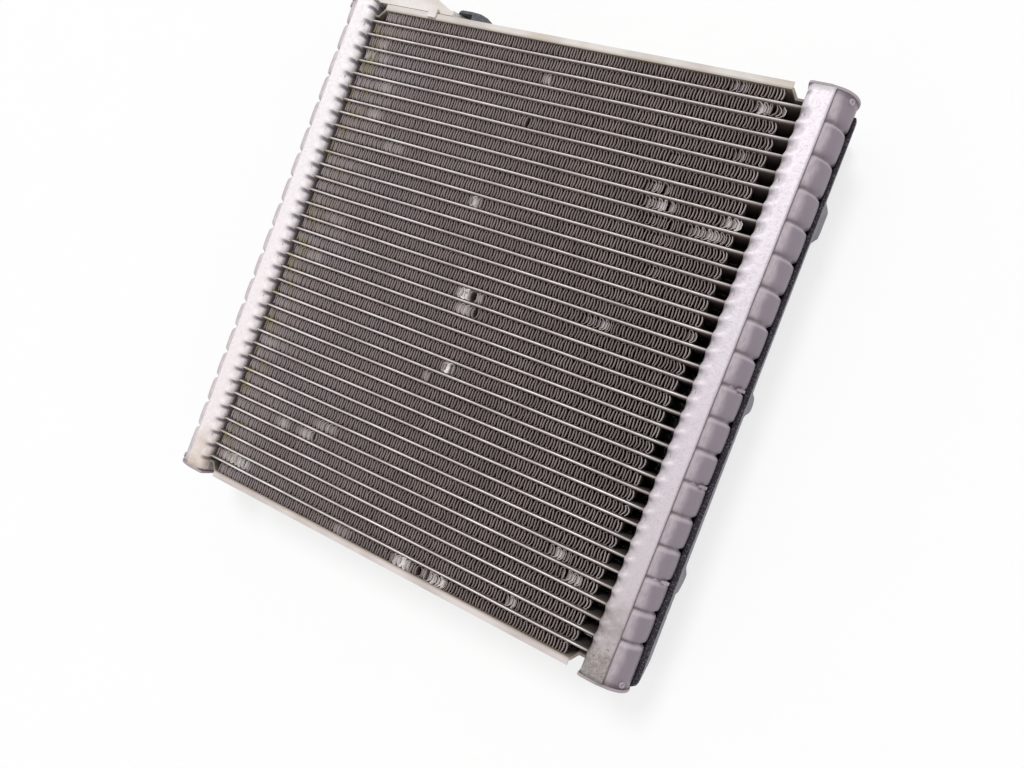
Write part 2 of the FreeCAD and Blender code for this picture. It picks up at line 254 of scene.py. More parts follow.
leftEnd = float(innerFace["left"])
halfDepth = float(tankDepth / 2)
tubeSide = core["tubeThickness"] / 2

# Fin foil: rolled aluminium dulled by dust, so its edges are grey and its depth is nearly black in shade;
# the depth is painted a paler grey than the dust, painted light for light bounced into the gaps,
# and dents are painted near white, partly bare scraped foil and partly a painted highlight
finFoilLook = {
    "clean": "#978a83",
    "dusty": "#7c706c",
    "dustNoise": {"Scale": 0.09, "Detail": 6.0},  # patches of dust about 11 mm across
    "dustRange": {"From Min": 0.40, "From Max": 0.62},
    "deep": "#938586",
    "deepRange": {"From Min": halfDepth - 3.0, "From Max": halfDepth - 3.7},
    "haze": "#968b8c",  # fine pale dust on the left half of the fins
    "hazeReach": {"From Min": leftEnd + 120.0, "From Max": leftEnd, "To Max": 1.5},
    "hazeNoise": {"Scale": 0.045, "Detail": 5.0},
    "hazeRange": {"From Min": 0.38, "From Max": 0.66, "To Min": 0.15},
    "corner": "#4a4240",  # painted shade where the folds meet the tubes
    "cornerShadeRange": {"From Min": tubeSide + 0.85, "From Max": tubeSide + 0.15, "To Max": 0.75},
    "dentScrapeAndHighlight": "#f0ecea",
    "stain": "#857c5c",
    "stainReach": {"From Min": leftEnd + 19.0, "From Max": leftEnd + 3.0, "To Max": 0.85},
    "grainNoise": {"Scale": 1.8, "Detail": 3.0},
    "relief": {"Strength": 0.3, "Distance": 0.0001},
    "metallic": 0.1,
    "roughness": 0.62,
}
# Flux stain: greenish spots about 8 mm across at random, only near the left header
stainNoise = {"Scale": 0.13, "Detail": 3.0}
stainRange = {"From Min": 0.5, "From Max": 0.6}


def finFoil(look):
    material, tree, shader, place, axes = startFinish("rolledFinFoil", look)
    noises = (look["dustNoise"], look["hazeNoise"], stainNoise, look["grainNoise"])
    dust, clouds, spots, grain = [addNode(tree, "ShaderNodeTexNoise", noise, {"Vector": place}).outputs["Fac"]
                                  for noise in noises]
    tint = tintWhere(tree, look["clean"], look["dusty"], (dust, look["dustRange"]))
    # painted light: the depth of the folds takes a set paler grey
    tint = tintWhere(tree, tint, look["deep"], (distanceFrom(tree, axes["Z"], halfDepth), look["deepRange"]))
    tint = tintWhere(tree, tint, look["haze"], (axes["X"], look["hazeReach"]), (clouds, look["hazeRange"]))
    beside = distanceFrom(tree, acrossTube(tree, axes["Y"]), 0)
    # painted shade where the folds meet the tubes
    tint = tintWhere(tree, tint, look["corner"], (beside, look["cornerShadeRange"]))
    bent = addNode(tree, "ShaderNodeAttribute", {"attribute_name": "dentScrapeAndSheen"})
    # dents painted near white: bare scraped foil and a painted highlight
    tint = tintWhere(tree, tint, look["dentScrapeAndHighlight"], (bent.outputs["Fac"], {}))
    tint = tintWhere(tree, tint, look["stain"], (axes["X"], look["stainReach"]), (spots, stainRange))
    endFinish(tree, shader, tint, grain, look["relief"])
    return material


# Tube: extruded aluminium with a film of braze flux, so it is pale and half matt with a bright rounded nose
tubeFace = float(frontTubesHigh[2]) - halfDepth
tubeLook = {
    "bright": "#f0eae7",
    "film": "#cfc5c1",
    "stretch": (0.25, 1, 1),
    "filmNoise": {"Scale": 0.35, "Detail": 5.0},  # patches of flux about 3 mm across, longer along the tube
    "filmRange": {"From Min": 0.42, "From Max": 0.66},
    "groove": "#8b807c",  # painted shade: the flat middle of the nose is painted darker between its two lit edges
    "noseShadeRise": {"interpolation_type": "SMOOTHSTEP", "From Min": -0.77, "From Max": -0.47},
    "noseShadeFall": {"interpolation_type": "SMOOTHSTEP", "From Min": 0.36, "From Max": -0.04},
    # the painted shade in the middle of the nose is weaker towards the left header
    "noseShadeShare": {"From Min": leftEnd + 20, "From Max": leftEnd + 110, "To Min": 0.2, "To Max": 0.75},
    "stain": "#b9af80",
    "stainReach": {"From Min": leftEnd + 14.0, "From Max": leftEnd + 3.0, "To Max": 0.85},
    "grimeAndShade": "#6f6562",  # dust and painted shade over the side of the tube just below its nose
    "grimeAndShadeRange": {"From Min": tubeFace - 0.08, "From Max": tubeFace - 0.3},
    "grainNoise": {"Scale": 1.4, "Detail": 3.0},
    "relief": {"Strength": 0.25, "Distance": 0.0001},
    "metallic": 0.4,
    "roughness": 0.42,
}


def extrudedTube(look):
    material, tree, shader, place, axes = startFinish("extrudedTubeAluminium", look)
    along = addNode(tree, "ShaderNodeMapping", {"Scale": look["stretch"]}, {"Vector": place}).outputs[0]
    film, grain = [addNode(tree, "ShaderNodeTexNoise", look[noise], {"Vector": along}).outputs["Fac"]
                   for noise in ("filmNoise", "grainNoise")]
    spots = addNode(tree, "ShaderNodeTexNoise", stainNoise, {"Vector": place})
    across = acrossTube(tree, axes["Y"])
    tint = tintWhere(tree, look["bright"], look["film"], (film, look["filmRange"]))
    # painted shade in the flat middle of the nose
    tint = tintWhere(tree, tint, look["groove"], (across, look["noseShadeRise"]), (across, look["noseShadeFall"]),
                     (axes["X"], look["noseShadeShare"]))
    tint = tintWhere(tree, tint, look["stain"], (axes["X"], look["stainReach"]),
                     (spots.outputs["Fac"], stainRange))
    # dust and painted shade on the sides behind the nose
    tint = tintWhere(tree, tint, look["grimeAndShade"],
                     (distanceFrom(tree, axes["Z"], halfDepth), look["grimeAndShadeRange"]))
    endFinish(tree, shader, tint, grain, look["relief"])
    return material


# Header plate: clad brazing sheet from the furnace, its flux bloom gives a pale mottled matt skin
# with a pink cast
headerLook = {
    "tones": ("#dfd8dd", "#d5cdd4", "#c9c0c4", "#958c87"),  # from the top end to the bottom end
    "steps": (0.0, 0.42, 0.86, 0.95),
    "stepNoise": {"Scale": 0.07, "Detail": 4.0},
    "stepDrift": 60.0,  # how far the noise moves the steps along the header, half of it to each side
    "mottle": "#c9bfc6",
    "mottleNoise": {"Scale": 0.6, "Detail": 4.0, "Roughness": 0.6},  # mottles about 2 mm across
    "mottleRange": {"From Min": 0.5, "From Max": 0.72, "To Max": 0.6},
    "speck": "#b3a9b0",
    "speckNoise": {"Scale": 1.5, "Detail": 2.0},  # the real bloom is finer than this and wouldn't show
    "speckRange": {"From Min": 0.5, "From Max": 0.75, "To Max": 0.6},
    "valleyShade": "#887d88",  # painted shade on the upper side of each pressed valley, measured down from a tube
    "valleyShadeRise": {"interpolation_type": "SMOOTHSTEP", "From Min": 0.5, "From Max": 1.3},
    "valleyShadeFall": {"interpolation_type": "SMOOTHSTEP", "From Min": 3.2, "From Max": 2.0, "To Max": 0.62},
    "valleyShadeReach": {"interpolation_type": "SMOOTHSTEP", "From Min": 3.4, "From Max": 0.8},
    "grimeAndShade": "#80766f",  # the web between the tubes is in reach of the air stream and brown with dust, with painted shade as well
    "grimeAndShadeDepth": {"From Min": halfDepth - 1.9, "From Max": halfDepth - 3.3},
    "grimeAndShadeReach": {"From Min": 2.0, "From Max": 1.3},
    "crack": "#5f5654",  # fine dark scratches over the lower end
    "crackNoise": {"Scale": 0.35, "Detail": 3.0, "Distortion": 1.2},
    "crackRange": {"From Min": 0.016, "From Max": 0.004, "To Max": 0.8},
    "crackEnd": {"From Min": tankBottom + 19.0, "From Max": tankBottom + 14.0},
    "mottleRelief": {"Strength": 0.35, "Distance": 0.0003},
    "relief": {"Strength": 0.3, "Distance": 0.0001},
    "metallic": 0.22,
    "roughness": 0.5,
}
# The left header plate is painted paler than the right one: painted light for its bends, which face away from
# the lamp
leftHeaderLook = {
    **headerLook,
    "tones": ("#faf5f7", "#f8f1f3", "#f4ebec", "#d3c3b0"),
    "steps": (0.0, 0.4, 0.93, 1.0),
    "mottle": "#e4dadd",
    "speck": "#e0d5d8",
    "valleyShade": "#776c76",
    "valleyShadeFall": {**headerLook["valleyShadeFall"], "To Max": 0.9},
    "valleyShadeReach": {**headerLook["valleyShadeReach"], "From Min": 4.2},
    "grimeAndShade": "#9c9195",
    "grimeAndShadeDepth": {"From Min": halfDepth - 3.6, "From Max": halfDepth - 5.0},
    "crackRange": {**headerLook["crackRange"], "To Max": 0.25},
    "metallic": 0.1,
    "roughness": 0.68,
}


def bloomedSheet(name, look, side):
    material, tree, shader, place, axes = startFinish(name, look)
    mottles, specks, lines = [
        addNode(tree, "ShaderNodeTexNoise", look[noise], {"Vector": place}).outputs["Fac"]
        for noise in ("mottleNoise", "speckNoise", "crackNoise")]
    drift = look["stepDrift"] / 2
    age = maskOf(tree, (noisyPlace(tree, place, axes["Y"], look["stepNoise"], look["stepDrift"]),
                        {"From Min": tankTop + drift, "From Max": tankBottom + drift}))
    aged = addNode(tree, "ShaderNodeValToRGB", {}, {0: age})
    elements = aged.color_ramp.elements
    for spot in look["steps"][1:-1]:
        elements.new(spot)
    for element, spot, tone in zip(elements, look["steps"], look["tones"]):
        element.position = spot
        element.color = colour(tone)
    tint = tintWhere(tree, aged.outputs["Color"], look["mottle"], (mottles, look["mottleRange"]))
    tint = tintWhere(tree, tint, look["speck"], (specks, look["speckRange"]))
    toTube = addNode(tree, "ShaderNodeMath", {"operation": "SUBTRACT", 0: float(firstTube)}, {1: axes["Y"]})
    below = addNode(tree, "ShaderNodeMath", {"operation": "WRAP", 1: core["tubePitch"], 2: 0.0},
                    {0: toTube.outputs[0]}).outputs[0]
    fromCore = distanceFrom(tree, axes["X"], innerFace[side])
    # painted shade on the upper side of each pressed valley
    tint = tintWhere(tree, tint, look["valleyShade"], (below, look["valleyShadeRise"]), (below, look["valleyShadeFall"]),
                     (fromCore, look["valleyShadeReach"]))
    level = distanceFrom(tree, axes["Z"], halfDepth)
    # dust and painted shade on the web between the tubes
    tint = tintWhere(tree, tint, look["grimeAndShade"], (level, look["grimeAndShadeDepth"]), (fromCore, look["grimeAndShadeReach"]))
    tint = tintWhere(tree, tint, look["crack"], (distanceFrom(tree, lines, 0.5), look["crackRange"]),
                     (axes["Y"], look["crackEnd"]))
    coarse = addNode(tree, "ShaderNodeBump", look["mottleRelief"], {"Height": mottles})
    endFinish(tree, shader, tint, specks, look["relief"], coarse.outputs["Normal"])
    return material


# Tank cover: pressed aluminium sheet, satin from the press and the furnace, with a faint purple-grey cast
tankLook = {
    # pale beside the header and darker further out on the domes: partly flux bloom and bare sheet, partly
    # painted reflection and painted shade
    "bloomAndLitSide": "#b7acb2",
    "bareAndShade": "#8c818b",
    "bareAndShadeNoise": {"Scale": 0.13, "Detail": 3.0},
    "shadeBorderDrift": 3.0,
    # out from the core's end
    "bareAndShadeRange": {"interpolation_type": "SMOOTHSTEP", "From Min": 13.0, "From Max": 16.2},
    "draw": "#857b86",
    "stretch": (1, 0.45, 1),
    "drawNoise": {"Scale": 0.8, "Detail": 4.0},  # draw marks about a millimetre apart, longer along the tank
    "drawRange": {"From Min": 0.42, "From Max": 0.75, "To Max": 0.45},
    "paintedShoulderHighlight": "#cfc6cb",  # painted highlight on the shoulder along the lower side of each groove
    "highlightRise": {"interpolation_type": "SMOOTHSTEP", "From Min": 0.1, "From Max": 0.9},
    "highlightFall": {"interpolation_type": "SMOOTHSTEP", "From Min": 2.6, "From Max": 1.0, "To Max": 0.5},
    "grimeAndShade": "#5f5458",  # flux and dirt with painted shade, in a line beside the header plate and in and just above the grooves
    "lineRange": {"From Min": float(headerDepth) + 0.6, "From Max": float(headerDepth) + 0.15, "To Max": 0.6},
    "grooveDirtAndShadeRise": {"interpolation_type": "SMOOTHSTEP", "From Min": -1.5, "From Max": -0.1},
    "grooveDirtAndShadeFall": {"interpolation_type": "SMOOTHSTEP", "From Min": 0.5, "From Max": 0.0},
    "grooveDirtAndShadeReach": {"From Min": 17.0, "From Max": 12.0, "To Max": 0.75},
    "relief": {"Strength": 0.2, "Distance": 0.0001},
    "metallic": 0.35,
    "roughness": 0.42,
}


def pressedSheet(name, look, side):
    material, tree, shader, place, axes = startFinish(name, look)
    fromCore = distanceFrom(tree, axes["X"], innerFace[side])
    toGroove = addNode(tree, "ShaderNodeMath", {"operation": "SUBTRACT", 0: float(groovePlaces[0])},
                       {1: axes["Y"]})
    # how far below the nearest groove, negative above it, with none past the last groove
    last = float(groovePlaces[0] - groovePlaces[-1]) + segmentLength / 2 - 0.1
    inRow = addNode(tree, "ShaderNodeMath", {"operation": "MINIMUM", 1: last}, {0: toGroove.outputs[0]})
    reach = segmentLength / 2
    below = addNode(tree, "ShaderNodeMath", {"operation": "WRAP", 1: reach, 2: -reach},
                    {0: inRow.outputs[0]}).outputs[0]
    border = noisyPlace(tree, place, fromCore, look["bareAndShadeNoise"], look["shadeBorderDrift"])
    # partly painted reflection and painted shade: pale beside the header, darker further out
    tint = tintWhere(tree, look["bloomAndLitSide"], look["bareAndShade"], (border, look["bareAndShadeRange"]))
    along = addNode(tree, "ShaderNodeMapping", {"Scale": look["stretch"]}, {"Vector": place})
    marks = addNode(tree, "ShaderNodeTexNoise", look["drawNoise"],
                    {"Vector": along.outputs[0]}).outputs["Fac"]
    tint = tintWhere(tree, tint, look["draw"], (marks, look["drawRange"]))
    # painted highlight on the shoulder below each groove
    tint = tintWhere(tree, tint, look["paintedShoulderHighlight"], (below, look["highlightRise"]), (below, look["highlightFall"]))
    # dirt and painted shade in and just above each groove, flux with painted shadow in a line beside the
    # header
    grooveDirtAndShade = maskOf(tree, (below, look["grooveDirtAndShadeRise"]), (below, look["grooveDirtAndShadeFall"]), (fromCore, look["grooveDirtAndShadeReach"]))
    line = maskOf(tree, (fromCore, look["lineRange"]))
    dark = addNode(tree, "ShaderNodeMath", {"operation": "MAXIMUM"}, {0: line, 1: grooveDirtAndShade})
    tint = tintWhere(tree, tint, look["grimeAndShade"], (dark.outputs[0], {}))
    endFinish(tree, shader, tint, marks, look["relief"])
    return material


# Side plate and small sheet parts: blanked aluminium sheet with a thin cream flux film
plateEdge = float(tankTop - tankBottom) / 2
sheetLook = {
    "film": "#d8d2cd",
    "bareAndShade": "#c3bcb7",
    "stretch": (0.4, 1, 1),
    "bareAndShadeNoise": {"Scale": 0.12, "Detail": 6.0},  # patches about 8 mm across
    "bareAndShadeRange": {"From Min": 0.42, "From Max": 0.66},
    "stain": "#c4b9aa",
    "stainNoise": {"Scale": 0.05, "Detail": 3.0},
    "stainRange": {"From Min": 0.52, "From Max": 0.7, "To Max": 0.7},
    "finEdgeBrown": "#93836f",  # darker brown along the edge beside the outermost fins
    "finEdgeBrownRange": {"From Min": plateEdge - 1.5, "From Max": plateEdge - 2.5, "To Max": 0.7},
    "deep": "#7d756c",  # painted shade on the stepped tongues at both ends, which lie deep beside the headers
    "deepRange": {"From Min": 95.9, "From Max": 97.2},  # out from the middle of the core
    "grainNoise": {"Scale": 1.6, "Detail": 3.0},
    "relief": {"Strength": 0.3, "Distance": 0.00015},
    "metallic": 0.1,
    "roughness": 0.6,
}
evenSheetLook = {**sheetLook, "finEdgeBrownRange": {"To Max": 0.0}, "deepRange": {"To Max": 0.0}}


def fluxedSheet(name, look):
    material, tree, shader, place, axes = startFinish(name, look)
    along = addNode(tree, "ShaderNodeMapping", {"Scale": look["stretch"]}, {"Vector": place}).outputs[0]
    noises = (("bareAndShadeNoise", along), ("stainNoise", place), ("grainNoise", along))
    patches, warm, grain = [addNode(tree, "ShaderNodeTexNoise", look[noise], {"Vector": over}).outputs["Fac"]
                            for noise, over in noises]
    sideways = distanceFrom(tree, axes["Y"], (tankTop + tankBottom) / 2)
    outwards = distanceFrom(tree, axes["X"], (innerFace["right"] + innerFace["left"]) / 2)
    tint = tintWhere(tree, look["film"], look["bareAndShade"], (patches, look["bareAndShadeRange"]))
    tint = tintWhere(tree, tint, look["stain"], (warm, look["stainRange"]))
    tint = tintWhere(tree, tint, look["finEdgeBrown"], (sideways, look["finEdgeBrownRange"]))
    # painted shade on the tongues at both ends
    tint = tintWhere(tree, tint, look["deep"], (outwards, look["deepRange"]))
    endFinish(tree, shader, tint, grain, look["relief"])
    return material


# Connector block: milled aluminium, its cutter marks give fine arcs of light and dark
blockLook = {
    "milled": "#c9c5c2",
    "shade": "#c0bbb8",
    "markPitch": 0.9,  # cutter marks are finer than this and wouldn't show
    "ringsAtScaleOne": 3.18,
    "relief": {"Strength": 0.2, "Distance": 0.0001},
    "metallic": 0.8,
    "roughness": 0.34,
}


def milledBlock(look):
    material, tree, shader, place, _ = startFinish("milledBlockAluminium", look)
    marks = addNode(tree, "ShaderNodeTexWave", {
        "wave_type": "RINGS",
        "rings_direction": "Y",
        "Distortion": 1.5,
        "Detail": 2.0,
        "Scale": 1 / look["markPitch"] / look["ringsAtScaleOne"],
    }, {"Vector": place}).outputs["Fac"]
    tint = tintWhere(tree, look["milled"], look["shade"], (marks, {}))
    endFinish(tree, shader, tint, marks, look["relief"])
    return material


# Foam: cut closed-cell rubber foam, nearly black with pale broken cells, and a smooth grey skin
# on its outer face
foamLook = {
    "cell": "#26212b",
    "wall": "#8d8894",
    "wallRange": {"From Min": 0.38, "From Max": 0.16, "To Max": 0.75},
    "skin": "#8f8d92",
    "skinRange": {"From Min": 0.55, "From Max": 0.8},
    "cellSize": 0.6,  # cells are about half this size and are drawn coarser so that they show
    "brokenCells": 0.82,
    "relief": {"Strength": 0.6, "Distance": 0.0004},
    "roughness": 0.85,
}


def cutFoam(name, look):
    material, tree, shader, place, _ = startFinish(name, look)
    cells = addNode(tree, "ShaderNodeTexVoronoi", {"Scale": 1 / look["cellSize"]}, {"Vector": place})
    picked = addNode(tree, "ShaderNodeSeparateColor", {}, {0: cells.outputs["Color"]})
    broken = addNode(tree, "ShaderNodeMath", {"operation": "LESS_THAN", 1: look["brokenCells"]},
                     {0: picked.outputs[0]})
    facing = addNode(tree, "ShaderNodeNewGeometry", {})
    normal = addNode(tree, "ShaderNodeSeparateXYZ", {}, {0: facing.outputs["Normal"]})
    tint = tintWhere(tree, look["cell"], look["wall"], (cells.outputs["Distance"], look["wallRange"]),
                     (broken.outputs[0], {}))
    tint = tintWhere(tree, tint, look["skin"], (normal.outputs["X"], look["skinRange"]))
    endFinish(tree, shader, tint, cells.outputs["Distance"], look["relief"])
    return material


finMaterial = finFoil(finFoilLook)
tubeMaterial = extrudedTube(tubeLook)
headerMaterials = {
    "right": bloomedSheet("bloomedHeaderSheetRight", headerLook, "right"),
    "left": bloomedSheet("bloomedHeaderSheetLeft", leftHeaderLook, "left"),
}
tankMaterials = {
    "right": pressedSheet("pressedTankSheetRight", tankLook, "right"),
    # the left tank cover is painted paler than the right one: painted light
    "left": pressedSheet("pressedTankSheetLeft", {**tankLook, "bloomAndLitSide": "#d9cfd3", "bareAndShade": "#c3b7ba"}, "left"),
}
sheetMaterials = {}
for part, look, tones in (
        ("TopPlate", sheetLook, {}),
        ("BottomPlate", sheetLook, {"film": "#dcd3d1", "bareAndShade": "#c6bcb9", "stain": "#c5b9ae"}),
        ("Passage", evenSheetLook, {"film": "#e6e0dd", "bareAndShade": "#d6cdc9", "stain": "#d2c7bd"}),
        ("Cap", evenSheetLook, {"film": "#b3a8ae", "bareAndShade": "#998e95", "stain": "#a59a9c"})):
    sheetMaterials[part] = fluxedSheet("fluxed%sSheet" % part, {**look, **tones})
blockMaterial = milledBlock(blockLook)
foamMaterial = cutFoam("cutRubberFoam", foamLook)
# the pad is painted a paler grey than the tank foam: painted light on a face turned away from the lamp
padMaterial = cutFoam("cutPadFoam", {**foamLook, "cell": "#56565e", "wall": "#a5a4aa", "skin": "#56565e"})
print("materials made")


# Fins: one foil folded to and fro between two tubes, its folds rounded, with the leans and dents
# of the used part
fin = {
    "wallPitch": 1.29,
    "foil": 0.23,  # drawn thicker than real foil so that its edge shows
    "setBack": 0.45,  # front edges behind the noses of the tubes
    "bow": 0.34,
    "bowWave": 46.0,
    "lean": 0.28,
    "leanWave": 31.0,
    "splay": 0.1,  # a fold is narrower at its crest than at its open side
    "stagger": 0.12,  # every second wall stands this much further back
    "jitter": 0.1,
    "crestFlatness": 0.45,  # height of a fold's crest as a share of its half width
    "louvreDepths": (0.8, 1.9),
    "louvreSway": 0.3,  # the walls are slit into louvres that stand out to both sides
    "louvreSides": (0.0, 1.0, -1.0, 0.0),
    "scrapeAndSheen": (1.0, 0.85, 0.2, 0.0),  # how near white a dent is painted, bare scraped foil and a painted highlight, from the front edge back
    "bendLength": 2.0,  # a dent folds this much of the front edge over
    "bendAngle": 80.0,
    "leanChange": 25.0,  # dents to the left of this lean towards the left header
    "gapSpread": 3.5,
    "raggedEnd": 0.9,
    "endBow": 0.55,  # the last folds on the right bow out towards the header
    "endBowReach": 20.0,
    "lastBow": 0.35,
    "leftSmear": 0.42,  # beside the left header the front edges are brushed over
    "leftSmearReach": 48.0,
    "seed": 7,
}
# Dents: fin counted from the top, place along it, half length, how far its front edges are laid over
finDents = (
    (1, 74, 4, 0.45), (2, 86, 3, 0.8), (2, 95, 2.5, 0.6), (3, -4, 2, 0.5), (3, -92, 3, 0.5),
    (4, -97, 3, 0.9), (4, -89, 3, 0.5), (5, 85, 2.5, 0.5), (6, -82, 5, 0.5), (6, 62, 4, 0.4),
    (8, -82, 5, 0.5), (8, 58, 4.5, 0.7), (9, 61, 6, 0.8), (9, 91, 4, 0.75), (10, -66, 6, 0.4),
    (10, 64, 6, 0.5), (10, 84, 8, 0.6), (11, 66, 5, 0.45), (12, -16, 2.5, 0.9), (13, 70, 4, 0.35),
    (16, 94, 4, 0.5), (17, 55, 6, 0.6), (18, -5, 3.4, 1.25), (18, 2.4, 1.6, 0.7), (19, -2, 4, 0.85),
    (16, -82, 6, 0.35), (19, -86, 6, 0.35), (23, 0, 2.4, 1.1), (24, -8, 1.5, 0.5), (26, -94, 5, 0.4),
    (30, -47, 7, 0.45), (31, -56, 5, 0.7), (31, -70, 4, 0.5), (31, 75, 4.5, 0.75), (32, 83, 4, 0.7),
    (35, -88, 8, 0.95), (35, 64, 3, 0.6), (36, 13, 5, 0.95), (36, 29, 5, 0.95), (36, -20, 5, 0.4),
)

# Places where a strip is torn open: fin, place along it, half width of the gap
finGaps = ((2, 91, 0.5), (6, -6.0, 0.7), (8, 61.0, 0.6), (9, 65, 0.7), (10, 68, 0.5), (18, -0.9, 1.1),
           (19, 2.4, 0.6), (23, 2.2, 0.7), (31, -51.0, 0.6), (32, 80, 0.6), (35, -82.0, 0.6), (36, 21.0, 0.9))


def finPath(number, low, high):
    rng = np.random.default_rng(fin["seed"] + number)
    left = low[0]
    right = high[0] - rng.uniform(0, fin["raggedEnd"])
    bottom = low[1] + fin["foil"] / 2
    top = high[1] - fin["foil"] / 2
    walls = int(round((right - left) / fin["wallPitch"]))
    pitch = (right - left) / walls
    middles = left + (np.arange(walls) + 0.5) * pitch
    middles = middles + rng.normal(0, fin["jitter"] * 0.5, walls).clip(-0.15, 0.15)
    bow = fin["bow"] * wander(rng, middles, fin["bowWave"]) + rng.normal(0, fin["jitter"], walls)
    lean = fin["lean"] * wander(rng, middles, fin["leanWave"]) + rng.normal(0, fin["jitter"], walls)
    lean += fin["splay"] * np.where(np.arange(walls) % 2 == 0, 1, -1)
    bow += fin["endBow"] * rng.uniform(0.1, 1.0) * smoothStep(middles, right - fin["endBowReach"], right)
    bow[-2:] += rng.uniform(0, fin["lastBow"])
    xs = []
    ys = []
    owners = []
    shares = np.linspace(0, 1, 5)
    radius = pitch / 2
    crest = radius * fin["crestFlatness"]
    for k in range(walls):
        rising = k % 2 == 0
        share = shares if rising else shares[::-1]
        xs.extend(middles[k] + bow[k] * (4 * share * (1 - share) - 0.5) + lean[k] * (share - 0.5))
        ys.extend(bottom + crest + share * (top - bottom - 2 * crest))
        owners.extend([k] * len(shares))
        if k < walls - 1:
            centre = (middles[k] + middles[k + 1]) / 2
            for angle in (135, 90, 45):
                turn = math.radians(angle)
                xs.append(centre + radius * math.cos(turn))
                rise = crest * (1 - math.sin(turn))
                ys.append(top - rise if rising else bottom + rise)
                owners.append(k)
    return np.array(xs), np.array(ys), np.array(owners), rng


def finDentAngles(number, xs, owners, rng):
    # how far each point's wall is laid over, 1 is the full angle
    laid = np.zeros(len(xs))
    for strip, place, half, fold in finDents:
        if strip == number:
            wild = rng.uniform(0.55, 1.2, owners.max() + 1)[owners]
            laid = np.maximum(laid, fold * np.exp(-((xs - place) / half) ** 4) * wild)
    return laid.clip(0, 1.25)


def finStrip(number, low, high):
    xs, ys, owners, rng = finPath(number, low, high)
    front = high[2] - fin["setBack"]
    uneven = np.abs(rng.normal(0, 0.1, owners.max() + 1))[owners] + fin["stagger"] * (owners % 2)
    laid = finDentAngles(number, xs, owners, rng)
    # a fold is held where it meets the tubes and free to move half way between them
    middleY = (low[1] + high[1]) / 2
    inside = np.clip(2.3 - np.abs(ys - middleY) / (high[1] - low[1]) * 4.6, 0.12, 1)
    for strip, place, half in finGaps:
        if strip == number:
            xs = xs + half * inside * np.exp(-((xs - place) / fin["gapSpread"]) ** 2) * np.sign(xs - place)
    brushed = fin["leftSmear"] * rng.uniform(0.3, 1.1, owners.max() + 1)[owners]
    brushed *= smoothStep(xs, low[0] + fin["leftSmearReach"] * rng.uniform(0.4, 1.0), low[0] + 4)
    towards = np.where(xs < fin["leanChange"], -1, 1)
    turn = np.radians(fin["bendAngle"]) * np.maximum(laid, brushed) * inside * towards
    # dents are painted near white, bare scraped foil and a painted highlight, and the front edges of the last
    # two walls a little lighter
    bright = np.clip(0.8 * laid ** 2.2, 0, 1) + 0.2 * (owners >= owners.max() - 1)
    half = fin["foil"] / 2
    depths = (0.0,) + fin["louvreDepths"] + (front - low[2] - fin["setBack"],)
    rings = np.zeros((len(xs), 8, 3))
    scrapeAndSheen = np.zeros((len(xs), 8))
    for k, (depth, sway) in enumerate(zip(depths, fin["louvreSides"])):
        rest = max(fin["bendLength"] - depth, 0)
        x = xs + sway * fin["louvreSway"] * inside + rest * np.sin(turn)
        z = front - depth - uneven * (k == 0) - rest * (1 - np.cos(turn))
        along = np.gradient(np.stack([x, ys], axis=1), axis=0)
        along /= np.linalg.norm(along, axis=1)[:, None] + 1e-9
        rings[:, k] = np.stack([x - along[:, 1] * half, ys + along[:, 0] * half, z], axis=1)
        rings[:, 7 - k] = np.stack([x + along[:, 1] * half, ys - along[:, 0] * half, z], axis=1)
        scrapeAndSheen[:, k] = scrapeAndSheen[:, 7 - k] = np.clip(bright, 0, 1) * fin["scrapeAndSheen"][k]
    rings[:, :, 0] = np.clip(rings[:, :, 0], low[0], high[0] + 0.6)
    rings[:, :, 1] = np.clip(rings[:, :, 1], low[1], high[1])
    piece = sweptPiece("foldedFin%02d" % number, [rings], flatColumns=(3, 7))
    mark = piece.data.attributes.new("dentScrapeAndSheen", "FLOAT", "POINT")
    mark.data.foreach_set("value", scrapeAndSheen.ravel().astype(np.float32))
    return dress(piece, finMaterial, "fin_stock", "fin_%02d" % number)


for number in range(1, core["tubeCount"] + 2):
    finLow, finHigh = nodeBox("fin_%02d" % number)
    finStrip(number, finLow, finHigh)
print("fins folded")


# Tubes: flat extrusions with rounded edges, very slightly wavy along their length
tube = {
    "nose": 1.35,  # depth of the rounded edge
    "waveY": 0.09,
    "waveZ": 0.09,
    "waveLengths": (90, 70),
    "stations": 24,
    "seed": 31,
}


def tubeSection(thickness, low, high, nose):
    angles = np.radians(np.linspace(-90, 90, 9))
    half = thickness / 2
    frontY = half * np.sin(angles)
    frontZ = high - nose * (1 - np.cos(angles))
    return np.concatenate([frontY, -frontY]), np.concatenate([frontZ, low + high - frontZ])


def tubeRow(name, node, low, high):
    rng = np.random.default_rng(tube["seed"])
    sectionY, sectionZ = tubeSection(core["tubeThickness"], low[2], high[2], tube["nose"])
    xs = np.linspace(low[0], high[0], tube["stations"])
    sweeps = []
    for y in tubePlaces:
        sideways = tube["waveY"] * wander(rng, xs, tube["waveLengths"][0])
        sunk = tube["waveZ"] * (0.5 + 0.5 * wander(rng, xs, tube["waveLengths"][1]))
        rings = np.zeros((len(xs), len(sectionY), 3))
        rings[:, :, 0] = xs[:, None]
        rings[:, :, 1] = y + sideways[:, None] + sectionY[None, :]
        middle = (low[2] + high[2]) / 2
        inward = np.sign(middle - sectionZ)
        rings[:, :, 2] = sectionZ[None, :] + sunk[:, None] * inward[None, :]
        sweeps.append(rings)
    piece = sweptPiece(name, sweeps)
    return dress(piece, tubeMaterial, "tube_stock", node)


tubeRow("frontTubeRow", "front_tubes", frontTubesLow, frontTubesHigh)
tubeRow("rearTubeRow", "rear_tubes", rearTubesLow, rearTubesHigh)
print("tubes laid")


